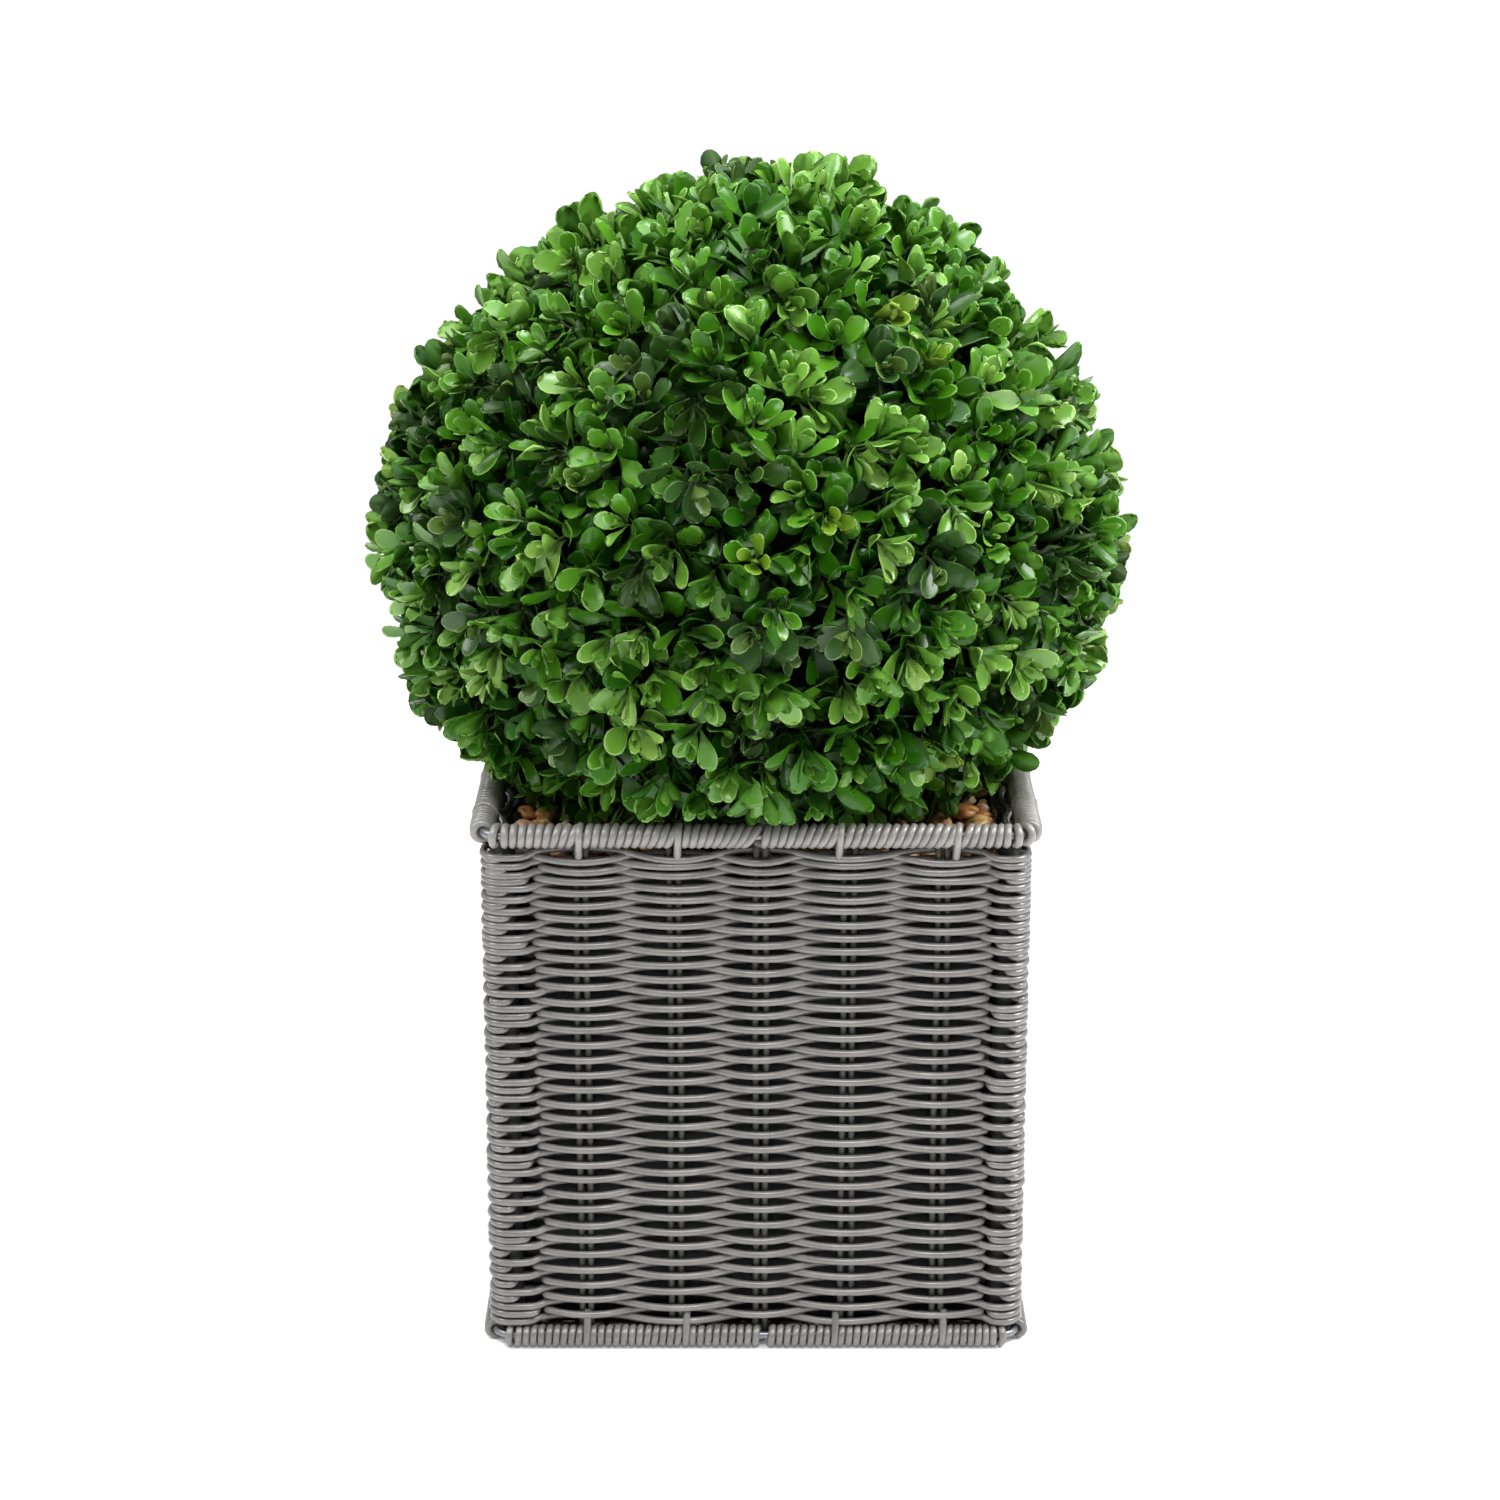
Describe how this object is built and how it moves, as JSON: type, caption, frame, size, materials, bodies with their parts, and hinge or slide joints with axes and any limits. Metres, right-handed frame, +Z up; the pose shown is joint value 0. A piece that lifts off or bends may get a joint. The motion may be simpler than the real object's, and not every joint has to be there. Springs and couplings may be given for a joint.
{
  "type": "artificial box topiary ball in a woven planter",
  "caption": "Clipped ball of artificial box foliage on a hidden stem, set in a square woven planter with a wrapped rim and gravel.",
  "frame": {"origin": "middle of the planter's footprint, on the surface it stands on", "axes": "+Z up, +Y to the planter's back, X along its front side; the front side is at -Y"},
  "size_m": [0.323, 0.3238, 0.4995],
  "materials": {
    "foliage": "glossy moulded plastic leaves",
    "stem": "rough bark",
    "cane": "satin round resin cane",
    "liner": "matt black",
    "gravel": "loose rounded pebbles"
  },
  "bodies": {
    "root": {"foliage_ball": "foliage", "stem": "stem", "rim_border": "cane", "base_border": "cane", "woven_wall": "cane", "planter_floor": "cane", "inner_pot": "liner", "gravel": "gravel"}
  },
  "joints": []
}
